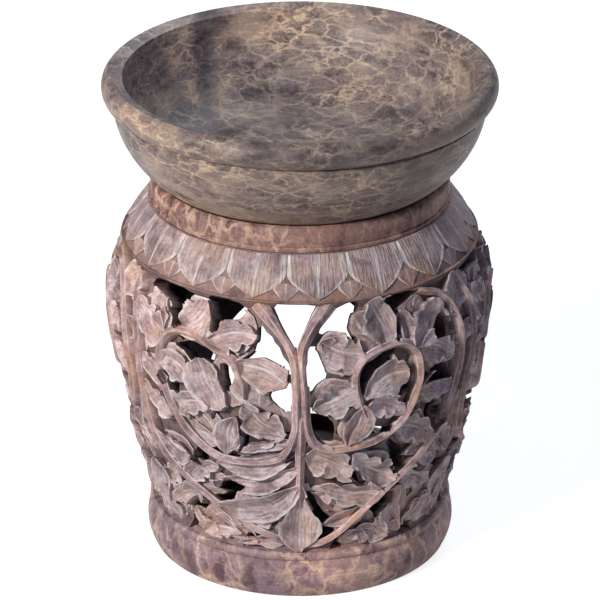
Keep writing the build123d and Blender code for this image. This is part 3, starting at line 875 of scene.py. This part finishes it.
def carving_group():
    """Carved stone: chalky where an edge or ridge is rubbed, painted shade down its sides, stained and
    scratched.
    """
    tree, given, out = new_group(
        "carving", {"Stone": "Color", "Chalk": "Color", "Scratch Scale": "Float"},
        {"Color": "Color", "Scratches": "Float"}
    )
    along, across, rim, tone = (
        add_node(tree, "Attribute", give="Fac", attribute_name=name) for name in carving_layers
    )
    place = add_node(tree, "TexCoord", give="Object")
    toned = add_ramp(tree, tone, (0.0, 1.05, 1.04, 1.04), (0.4, 0.9, 0.91, 0.94), (1.0, 0.92, 0.8, 0.77))
    mottle = add_noise(tree, place, 190.0, 6.0, 0.7, 0.6)
    stained = add_ramp(tree, mottle, (0.43, 0.78, 0.68, 0.65), (0.54, 1.09, 1.09, 1.1))
    edge = add_math(tree, "MULTIPLY", rim, 0.5)
    rubbed = add_ramp(tree, edge, (0.0, 0.9), (0.05, 0.15), (0.38, 0.1), (0.47, 0.88), (0.52, 0.2))
    patches = add_ramp(tree, add_noise(tree, place, 420.0, 5.0, 0.7), (0.35, 0.3), (0.6, 1.0))
    chalked = add_math(tree, "MULTIPLY", rubbed, patches)
    stretched = add_math(tree, "MULTIPLY", along, scratch_stretch)
    lines = add_node(tree, "CombineXYZ", across, stretched)
    scratches = add_noise(tree, lines, given["Scratch Scale"], 2.0, 0.5, 0.15)
    scored = add_ramp(tree, scratches, (0.36, 0.66, 0.62, 0.62), (0.47, 0.96, 0.95, 0.95), (0.58, 1.14))
    # Painted shade: the strips' sides, marked with a rim past the edge, take a dark shade colour.
    side_shade_share = add_ramp(tree, edge, (0.55, 0.0), (0.9, 1.0))
    stone = add_mix(tree, 1.0, given["Stone"], toned, "MULTIPLY")
    stone = add_mix(tree, 1.0, stone, stained, "MULTIPLY")
    stone = add_mix(tree, chalked, stone, given["Chalk"])
    stone = add_mix(tree, scratch_strength, stone, scored, "MULTIPLY")
    feed(tree, out, Color=add_mix(tree, side_shade_share, stone, painted_side_shade), Scratches=scratches)
    return tree


carving_look = carving_group()


def carving_material(name, colours, chalk, scratch_spacing, scratch_depth):
    """Soapstone under the carving's own look, with its scratches as a fine bump."""
    made = stone_material(name, colours, 0.45, 1.0, 0.0065, 1.1, 0.00008)
    tree = made.node_tree
    stone = tree.nodes["stone"].outputs["Color"]
    carved = add_node(
        tree, "Group", stone, tint(*chalk), 1 / scratch_spacing, node_tree=carving_look
    ).node.outputs
    relief = tree.nodes["relief"].outputs["Normal"]
    scored = add_node(tree, "Bump", Distance=scratch_depth, Height=carved["Scratches"], Normal=relief)
    feed_shader(made, Base_Color=carved["Color"], Normal=scored)
    return made


carved_stone = carving_material(
    "carved_stone", ((122, 96, 98), (200, 178, 177), (192, 156, 132), (218, 196, 182)), (228, 217, 210),
    0.00045, 0.00018
)


def inside(outline, x, y):
    """Whether a flat point lies within a closed outline."""
    crossed = False
    for index, (x2, y2) in enumerate(outline):
        x1, y1 = outline[index - 1]
        if (y1 > y) != (y2 > y) and x < (x2 - x1) * (y - y1) / (y2 - y1) + x1:
            crossed = not crossed
    return crossed


def at_height(point):
    angle, share = point
    return angle, wall_height_at(share)


def door_edge(over, height, up, reach):
    """A point of the arch, at a reach from its middle, as an angle and a height on the wall."""
    z = height + up * reach
    return 180 - asin(over * reach / wall_radius(z)) * 180 / pi, z


def with_limits(outline):
    """An outline of angles and heights, after its lowest and highest angle and height."""
    angles, heights = zip(*outline)
    return min(angles), max(angles), min(heights), max(heights), outline


door_reach = door_half_width + door_border
door_area = with_limits([door_edge(*point, door_reach) for point in door_path])

for side, turn in panel_turns.items():
    rng = random.Random(side)

    def on_side(points):
        return [(angle + turn, height) for angle, height in map(at_height, points)]

    windows = [door_area] + [with_limits(on_side(points)) for points in window_shares]
    carving = Carving(wall_radius, carving_sink, carving_sink * undercut_slope, windows)
    spread = 0 if side == "front" else 1

    def nudged(point):
        angle, height = at_height(point)
        angle += turn + spread * rng.uniform(-jitter_angle, jitter_angle)
        return angle, height + spread * wall_height * rng.uniform(-jitter_share, jitter_share)

    stems = [(points, stem_half_width, stem_rows) for points in heart_shares]
    stems += [(points, scroll_half_width, scroll_rows) for points in scroll_shares]
    stems.append((trunk_shares, scroll_half_width, trunk_rows))
    for points, half_width, rows in stems:
        carving.stem(on_side(points), half_width, rows)
    for root, tip, width_share, form, steps_down, bend in leaf_shares:
        root_point, tip_point = nudged(root), nudged(tip)
        carving.leaf(root_point, tip_point, width_share * leaf_spread, form, steps_down, bend, rng)
        run, radius = run_between(wall_radius, root_point, tip_point)
        run.rotate(Matrix.Rotation(radians(under_leaf_turn * rng.choice((-1, 1))), 2))
        tip_height = max(root_point[1] + run.y, wall_base + under_leaf_margin)
        under_tip = (root_point[0] + angle_over(run.x, radius), min(tip_height, wall_top - under_leaf_margin))
        steps = under_leaf_steps + rng.uniform(0, under_leaf_deeper)
        carving.leaf(root_point, under_tip, width_share * under_leaf_spread, "under", steps, -bend, rng)
    piece = carving.finished(side + "_leaves_and_stems", carved_stone, leaf_sharp_angle)
    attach(piece, "stone_body")
    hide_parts(side + "_carved_panel")

# Doorway border
# A plain band left standing round the arch, with one scored line. It is part of the same stone, and
# its inner edge is the doorway's own edge.
border_profile = [
    (0, -0.0005), (0.08, -0.0001), (0.26, 0), (0.31, -0.0004), (0.36, 0), (0.9, -0.0001), (1, -0.0006)
]
border_mesh = bmesh.new()
bmesh.ops.create_grid(
    border_mesh, x_segments=len(door_path) - 1, y_segments=len(border_profile) - 1, size=0.5
)
for vert in border_mesh.verts:
    over, height, up = door_path[round((vert.co.x + 0.5) * (len(door_path) - 1))]
    share, lift = border_profile[round((vert.co.y + 0.5) * (len(border_profile) - 1))]
    reach = door_half_width + door_border * share
    x, z = over * reach, height + up * reach
    vert.co = (x, ((wall_radius(z) + lift) ** 2 - x * x) ** 0.5, z)
for vert in drawn_out(border_mesh, border_mesh.faces[:]):
    vert.co.y -= carving_sink
bmesh.ops.recalc_face_normals(border_mesh, faces=border_mesh.faces)
border_stone = stone_material(
    "border_stone", ((128, 104, 102), (172, 146, 142), (180, 146, 128), (200, 174, 158)),
    0.6, 1.0, 0.0065, 1.1, 0.00008
)
border_piece = add_piece("doorway_border", border_mesh, border_stone)
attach(border_piece, "stone_body")
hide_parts("right_carved_panel", "left_carved_panel")

# Petal shoulder
# The wall's turned shoulder, carved as a ring of petals that point down, with a second ring of
# petals behind them. Each is finely hatched along its length and has a thin raised border.
shoulder_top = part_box("petal_shoulder")[1].z
shoulder_base_radius = 0.0361
shoulder_mid_radius = 0.0339
shoulder_top_radius = 0.0308
shoulder_inner_radius = 0.0299
neck_bore_radius = 0.022
petal_depth = 0.00055
petal_count = 17
first_petal_angle = 6.0
petal_side_share = 0.42
main_tip = wall_top + 0.0007
back_tip = wall_top + 0.0002
back_petal_top = wall_top + 0.0036
back_petal_half_width = 0.0026
back_petal_point_share = 0.66
back_petal_drop = 0.0003
band_radius = shoulder_base_radius - 0.0001
band_bead = 0.0004
shoulder_rows = 12
petal_gap_share = 0.99
petal_roundness = 1.6
petal_sink = 0.0009
back_petal_sink = 0.0006
petal_sharp_angle = 30
petal_grid = (26, 20)
back_petal_grid = (10, 10)
least_width_share = 0.01
petal_rim_from = 0.85
back_petal_rim_from = 0.7
petal_rim_to = 0.99
petal_rim = 0.00015
back_petal_rim = 0.0001
petal_crown = 0.0002
petal_drop = 0.0001

shoulder_knots = [
    (shoulder_base_radius, wall_top),
    (shoulder_mid_radius, (wall_top + shoulder_top) / 2),
    (shoulder_top_radius, shoulder_top),
]


def shoulder_radius(height):
    return arc_radius(shoulder_knots, height)


shoulder_outline = [
    (band_radius, wall_top + 0.0001), (band_radius, wall_top + band_bead),
    (shoulder_base_radius - petal_depth, wall_top + band_bead)
]
for row in range(1, shoulder_rows + 1):
    height = wall_top + (shoulder_top - wall_top) * row / shoulder_rows
    shoulder_outline.append((shoulder_radius(height) - petal_depth, height))
shoulder_outline += [(neck_bore_radius, shoulder_top), (shoulder_inner_radius, wall_top), shoulder_outline[0]]
shoulder_stone = stone_material(
    "shoulder_stone", ((104, 80, 76), (150, 122, 116), (160, 118, 96), (180, 152, 134)),
    0.4, 1.0, 0.006, 1.2, 0.0001
)
shoulder_piece = turned_piece("shoulder_ground", shoulder_outline, shoulder_stone)
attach(shoulder_piece, "stone_body")
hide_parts("petal_shoulder")

petals = Carving(shoulder_radius, petal_sink)
back_petals = Carving(shoulder_radius, back_petal_sink)
pitch = 360 / petal_count


def main_petal_width(share, side):
    full = shoulder_radius((shoulder_top + main_tip) / 2) * radians(pitch / 2) * petal_gap_share
    run = max(share - petal_side_share, 0) / (1 - petal_side_share)
    return full * max(1 - run ** petal_roundness, least_width_share)


def main_petal_lift(share, side):
    return petal_rim * (petal_rim_from < abs(side) < petal_rim_to) - petal_crown * side * side - petal_drop


def back_petal_width(share, side):
    return back_petal_half_width * min(1, max((1 - share) / back_petal_point_share, least_width_share))


def back_petal_lift(share, side):
    return back_petal_rim * (back_petal_rim_from < abs(side) < petal_rim_to) - back_petal_drop


def petal_line(angle, top, tip):
    return [(angle, top), (angle, (top + tip) / 2), (angle, tip)]


for index in range(petal_count):
    angle = first_petal_angle + index * pitch
    petals.strip(petal_line(angle, shoulder_top, main_tip), *petal_grid, main_petal_width, main_petal_lift)
    line = petal_line(angle + pitch / 2, back_petal_top, back_tip)
    back_petals.strip(line, *back_petal_grid, back_petal_width, back_petal_lift)
petal_chalk = (222, 212, 208)
petal_stone = carving_material(
    "petal_stone", ((124, 104, 105), (170, 152, 154), (176, 150, 128), (194, 172, 158)), petal_chalk,
    0.00042, 0.00032
)
back_petal_stone = carving_material(
    "back_petal_stone", ((124, 96, 92), (164, 134, 128), (176, 138, 118), (192, 166, 150)), petal_chalk,
    0.003, 0.0001
)
for name, made, stone in (
    ("hatched_petals", petals, petal_stone), ("plain_back_petals", back_petals, back_petal_stone)
):
    petal_piece = made.finished(name, stone, petal_sharp_angle)
    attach(petal_piece, "stone_body")
    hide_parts("petal_shoulder")

# Neck ring
# The top of the one-block body, a plain turned collar of redder stone. Its upper edge is rounded,
# and a shallow cone inside it seats the bowl.
neck_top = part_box("neck_ring")[1].z
seat_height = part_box("oil_bowl")[0].z
neck_radius = 0.0302
neck_round = 0.0012
socket_mouth_radius = 0.02916
socket_base_radius = 0.0266
neck_outline = (
    [(neck_bore_radius, shoulder_top), (neck_radius - 0.0003, shoulder_top)]
    + [(neck_radius, shoulder_top + 0.0002), (neck_radius, shoulder_top + 0.0007)]
    + [(neck_radius - 0.0004, shoulder_top + 0.001), (neck_radius - 0.0001, shoulder_top + 0.0014)]
    + arc(
        (neck_radius, neck_top - neck_round),
        (neck_radius - neck_round * 0.3, neck_top - neck_round * 0.3),
        (neck_radius - neck_round, neck_top), 5
    )
    + [(socket_mouth_radius, neck_top), (socket_base_radius, seat_height), (neck_bore_radius, seat_height),
       (neck_bore_radius, shoulder_top)]
)
neck_stone = stone_material(
    "neck_stone", ((84, 56, 56), (138, 104, 100), (162, 124, 110), (216, 176, 148)),
    1.0, 0.6, 0.004, 0.6, 0.00006, 0.00003
)
neck_piece = turned_piece("turned_neck_ring", neck_outline, neck_stone)
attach(neck_piece, "stone_body")
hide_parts("neck_ring")

# Oil bowl
# The loose bowl for water and oil, turned from darker stone with a web of tan veins. A groove runs
# under its rim, and the lathe's fine rings show inside.
bowl_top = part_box("oil_bowl")[1].z
bowl_base_radius = 0.0260
bowl_skirt = (0.0292, seat_height + 0.0020)
bowl_side = (0.0342, seat_height + 0.0073)
bowl_collar = (0.0375, bowl_top - 0.0059)
rim_swell = (0.0396, bowl_top - 0.0025)
rim_edge = (0.0377, bowl_top)
bowl_mouth = (0.0354, bowl_top - 0.0009)
bowl_hollow = (0.0302, seat_height + 0.0120)
bowl_floor = (0.0150, seat_height + 0.0060)
groove = 0.0004
bowl_steps = 256
painted_light_direction = (-0.6, 0.8, 0)
seam_wander = 0.007
bowl_outline = (
    [(0, seat_height), (bowl_base_radius, seat_height)]
    + arc(bowl_skirt, bowl_side, (bowl_collar[0], bowl_collar[1] - groove), 24)
    + [(bowl_collar[0] - groove, bowl_collar[1])]
    + arc((bowl_collar[0] + groove, bowl_collar[1] + groove), rim_swell, rim_edge, 14)
    + arc(bowl_mouth, bowl_hollow, bowl_floor, 28)
    + [(0.010, bowl_floor[1] - 0.0002), (0.005, bowl_floor[1] - 0.0003), (0, bowl_floor[1] - 0.0003)]
)
bowl_stone = stone_material(
    "bowl_stone", ((84, 73, 73), (123, 109, 105), (154, 137, 123), (202, 178, 150)),
    0.7, 0.46, 0.0052, 2.2, 0.00005, 0.00004, 0.48
)

# The bowl's colour is painted paler towards its far left, a painted highlight for the light on its far wall,
# and a dark seam of the stone crosses it there.
bowl_tree = bowl_stone.node_tree
bowl_place = add_node(bowl_tree, "TexCoord", give="Object")
painted_light_side = add_node(
    bowl_tree, "VectorMath", bowl_place, painted_light_direction, give="Value", operation="DOT_PRODUCT"
)
# Painted light: the stone's colour is scaled up towards the far left wall of the bowl.
painted_light_gain = add_node(bowl_tree, "MapRange", painted_light_side, -0.03, 0.035, 0.9, 1.32)
stone_before_painted_light = bowl_tree.nodes["stone"].outputs["Color"]
painted_light_stone = add_node(bowl_tree, "VectorMath", stone_before_painted_light, operation="SCALE", Scale=painted_light_gain)
bowl_apart = add_node(bowl_tree, "SeparateXYZ", bowl_place).node.outputs
seam_noise = add_noise(bowl_tree, bowl_place, 55.0, 4.0, 0.6)
seam_line = add_math(bowl_tree, "MULTIPLY_ADD", seam_noise, seam_wander, bowl_apart["X"])
seam = add_ramp(
    bowl_tree, add_node(bowl_tree, "MapRange", seam_line, -0.04, 0.04, 0.0, 1.0),
    (0.265, 1.0), (0.285, 0.36, 0.4, 0.48), (0.312, 0.4, 0.44, 0.52), (0.345, 1.0)
)
seam_reach = add_node(bowl_tree, "MapRange", bowl_apart["Y"], 0.006, 0.02, 0.0, 1.0)
seamed = add_mix(bowl_tree, seam_reach, painted_light_stone, seam, "MULTIPLY")
feed_shader(bowl_stone, Base_Color=seamed)

bowl_piece = turned_piece("turned_oil_bowl", bowl_outline, bowl_stone, bowl_steps)
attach(bowl_piece, "bowl")
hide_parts("oil_bowl")

# Tea light
# A standard candle for the chamber, which the photograph shows empty: a pressed foil cup with fine
# crimps and a rolled rim, dark beeswax cast in it, and a braided wick held by a crimped metal tab.
cup_low, cup_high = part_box("tealight_cup")
wax_low, wax_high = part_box("tealight_wax")
wick_low, wick_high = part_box("wick")
tab_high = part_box("wick_tab")[1]
cup_radius = cup_high.x
cup_wall = 0.0004
crimp_count = 72
crimp_depth = 0.00012
wick_radius = wick_high.x
tab_radius = tab_high.x
tab_plate_top = wax_low.z + 0.0005
tab_collar_radius = 0.0018
wax_steps = 128
tab_steps = 64


def specks_group():
    """The fine uneven colour, gloss and surface of a plain finish."""
    tree, given, out = new_group(
        "specks", {"Low": "Color", "High": "Color", "Speck Scale": "Float", "Roughness": "Float"},
        {"Color": "Color", "Gloss": "Float", "Specks": "Float"}
    )
    specks = add_noise(tree, add_node(tree, "TexCoord", give="Object"), given["Speck Scale"], 5.0, 0.6)
    share = add_ramp(tree, specks, (0.35, 0.0), (0.65, 1.0))
    uneven = add_node(tree, "MapRange", specks, 0.0, 1.0, 0.8, 1.25)
    gloss = add_math(tree, "MULTIPLY", uneven, given["Roughness"])
    feed(tree, out, Color=add_mix(tree, share, given["Low"], given["High"]), Gloss=gloss, Specks=specks)
    return tree


speckled_look = specks_group()


def speckled_material(name, low, high, metallic, roughness, speck_size, bump_depth):
    """A plain finish between two colours, with its specks as fine bumps."""
    made, tree = new_material(name)
    specks = add_node(
        tree, "Group", tint(*low), tint(*high), 1 / speck_size, roughness, node_tree=speckled_look
    ).node.outputs
    bump = add_node(tree, "Bump", Distance=bump_depth, Height=specks["Specks"])
    feed_shader(made, Base_Color=specks["Color"], Roughness=specks["Gloss"], Normal=bump, Metallic=metallic)
    return made


roll = 0.0004
cup_side = cup_radius - 0.0002
cup_inside = cup_side - cup_wall
cup_bend_top = cup_low.z + 0.0010
cup_dish = cup_low.z + 0.0003
cup_outline = (
    [(0, cup_dish), (0.0150, cup_dish), (0.0155, cup_low.z), (cup_radius - 0.0012, cup_low.z)]
    + arc((cup_radius - 0.0011, cup_low.z), (cup_radius - 0.0005, cup_dish), (cup_side, cup_bend_top), 4)
    + [(cup_side, cup_high.z - 0.0040), (cup_side, cup_high.z - 2 * roll)]
    + [(cup_radius, cup_high.z - roll * 1.4), (cup_radius, cup_high.z - roll * 0.6)]
    + [(cup_radius - roll, cup_high.z)]
    + [(cup_radius - 2 * roll, cup_high.z - roll), (cup_inside, cup_high.z - 2 * roll)]
    + [(cup_inside, cup_bend_top), (cup_radius - 0.0012, wax_low.z), (0, wax_low.z)]
)
cup_foil = speckled_material("cup_foil", (150, 150, 152), (176, 177, 180), 1.0, 0.34, 0.004, 0.00003)
cup_piece = turned_piece("pressed_foil_cup", cup_outline, cup_foil, crimp_count * 4)
for vert in cup_piece.data.vertices:
    radius = hypot(vert.co.x, vert.co.y)
    if radius > cup_radius - 0.0011 and cup_low.z + 0.0005 < vert.co.z < cup_high.z - 1.5 * roll:
        crimp = crimp_depth * (1 - cos(atan2(vert.co.y, vert.co.x) * crimp_count)) / 2
        pull_in(vert, crimp / radius)
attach(cup_piece, "tea_light")
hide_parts("tealight_cup")

wax_edge = cup_inside - crimp_depth
wax_outline = (
    [(tab_radius, wax_low.z), (cup_radius - 0.0013, wax_low.z), (wax_edge, wax_low.z + 0.0010)]
    + [(wax_edge, wax_high.z), (wax_edge - 0.0004, wax_high.z - 0.0003)]
    + [(wax_edge - 0.0012, wax_high.z - 0.0005)]
    + [(0.008, wax_high.z - 0.0006), (0.004, wax_high.z - 0.0005), (0.002, wax_high.z - 0.0002)]
    + [(wick_radius, wax_high.z), (wick_radius, tab_high.z), (tab_collar_radius, tab_high.z)]
    + [(tab_collar_radius, tab_plate_top), (tab_radius, tab_plate_top), (tab_radius, wax_low.z)]
)
beeswax = speckled_material("dark_beeswax", (84, 58, 34), (106, 76, 46), 0.0, 0.4, 0.006, 0.0002)
feed_shader(beeswax, Subsurface_Weight=0.2, Subsurface_Radius=(0.004, 0.002, 0.001))
wax_piece = turned_piece("cast_beeswax", wax_outline, beeswax, wax_steps)
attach(wax_piece, "tea_light")
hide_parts("tealight_wax")

tab_outline = (
    [(wick_radius, wax_low.z), (tab_radius - 0.0002, wax_low.z), (tab_radius, wax_low.z + 0.0002)]
    + [(tab_radius - 0.0001, tab_plate_top), (tab_collar_radius + 0.0006, tab_plate_top)]
    + [(tab_collar_radius, tab_plate_top + 0.0006), (tab_collar_radius - 0.0003, tab_high.z - 0.0002)]
    + [(tab_collar_radius - 0.0005, tab_high.z), (wick_radius, tab_high.z), (wick_radius, wax_low.z)]
)
tab_tin = speckled_material("tab_tin", (128, 128, 130), (150, 150, 152), 1.0, 0.4, 0.002, 0.00003)
tab_piece = turned_piece("crimped_wick_tab", tab_outline, tab_tin, tab_steps)
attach(tab_piece, "tea_light")
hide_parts("wick_tab")

wick_rows = 60
wick_sides = 24
wick_tip_share = 0.55
braid_pitch = 0.0032
braid_depth = 0.12
strand_count = 3
wick_mesh = bmesh.new()
wick_outline = [(0, wick_low.z)]
for row in range(wick_rows + 1):
    height = wick_low.z + (wick_high.z - wick_low.z) * row / wick_rows
    wick_outline.append((wick_radius * (wick_tip_share if row == wick_rows else 1), height))
wick_outline.append((0, wick_high.z))
spin_outline(wick_mesh, wick_outline, wick_sides)
for vert in wick_mesh.verts:
    turn = atan2(vert.co.y, vert.co.x)
    braid = cos(strand_count * (turn - vert.co.z * 2 * pi / braid_pitch))
    pull_in(vert, braid_depth - braid_depth * braid)
charred_cotton = speckled_material("charred_cotton", (38, 32, 28), (72, 62, 52), 0.0, 0.9, 0.0004, 0.0001)
wick_piece = add_piece("braided_wick", wick_mesh, charred_cotton)
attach(wick_piece, "tea_light")
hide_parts("wick")

# Floor, lights and camera
# A pale paper floor that shows white to the camera, a small bright lamp from the upper left, a soft
# one behind at the right, a weak bluish world, and the camera at the photograph's viewing angle.
floor_half_size = 3.0
floor_grey = 0.45
floor_glow = 0.83
lamp_aim = (0, 0, 0.05)
camera_place = (0, -0.8278, 0.4370)
camera_pitch = 24.93
camera_lens = 269.1
camera_sensor = 36
paper, paper_tree = new_material("paper")
ray = add_node(paper_tree, "LightPath").node.outputs
seen = add_math(paper_tree, "MAXIMUM", ray["Is Camera Ray"], ray["Is Glossy Ray"])
seen = add_math(paper_tree, "MAXIMUM", seen, ray["Is Transmission Ray"])
glow = add_math(paper_tree, "MULTIPLY", seen, floor_glow)
feed_shader(paper, Base_Color=(floor_grey, floor_grey, floor_grey, 1), Roughness=0.9)
feed_shader(paper, Emission_Color=(1, 1, 1, 1), Emission_Strength=glow)
floor_mesh = bmesh.new()
bmesh.ops.create_grid(floor_mesh, x_segments=1, y_segments=1, size=floor_half_size)
floor = add_piece("floor", floor_mesh, paper)

world = bpy.data.worlds.new("studio")
bpy.context.scene.world = world
world.use_nodes = True
feed(world.node_tree, world.node_tree.nodes["Background"].inputs, Color=(0.5, 0.64, 1.0, 1), Strength=0.26)


def area_lamp(name, place, size, power, colour):
    """A soft square lamp that faces the middle of the burner."""
    data = bpy.data.lights.new(name, "AREA")
    data.size = size
    data.energy = power
    data.color = colour
    lamp = bpy.data.objects.new(name, data)
    lamp.location = place
    lamp.rotation_mode = "QUATERNION"
    lamp.rotation_quaternion = (Vector(place) - Vector(lamp_aim)).to_track_quat("Z", "Y")
    bpy.context.scene.collection.objects.link(lamp)


area_lamp("window_light", (-0.72, -0.80, 0.68), 0.2, 15.2, (1.0, 0.985, 0.96))
area_lamp("back_light", (0.4, 0.9, 0.9), 0.5, 5.0, (0.9, 0.95, 1.0))

camera = bpy.data.objects.new("camera", bpy.data.cameras.new("camera"))
camera.data.lens = camera_lens
camera.data.sensor_width = camera_sensor
camera.location = camera_place
camera.rotation_euler = (radians(90 - camera_pitch), 0, 0)
bpy.context.scene.collection.objects.link(camera)
bpy.context.scene.camera = camera
bpy.context.scene.view_settings.view_transform = "Standard"
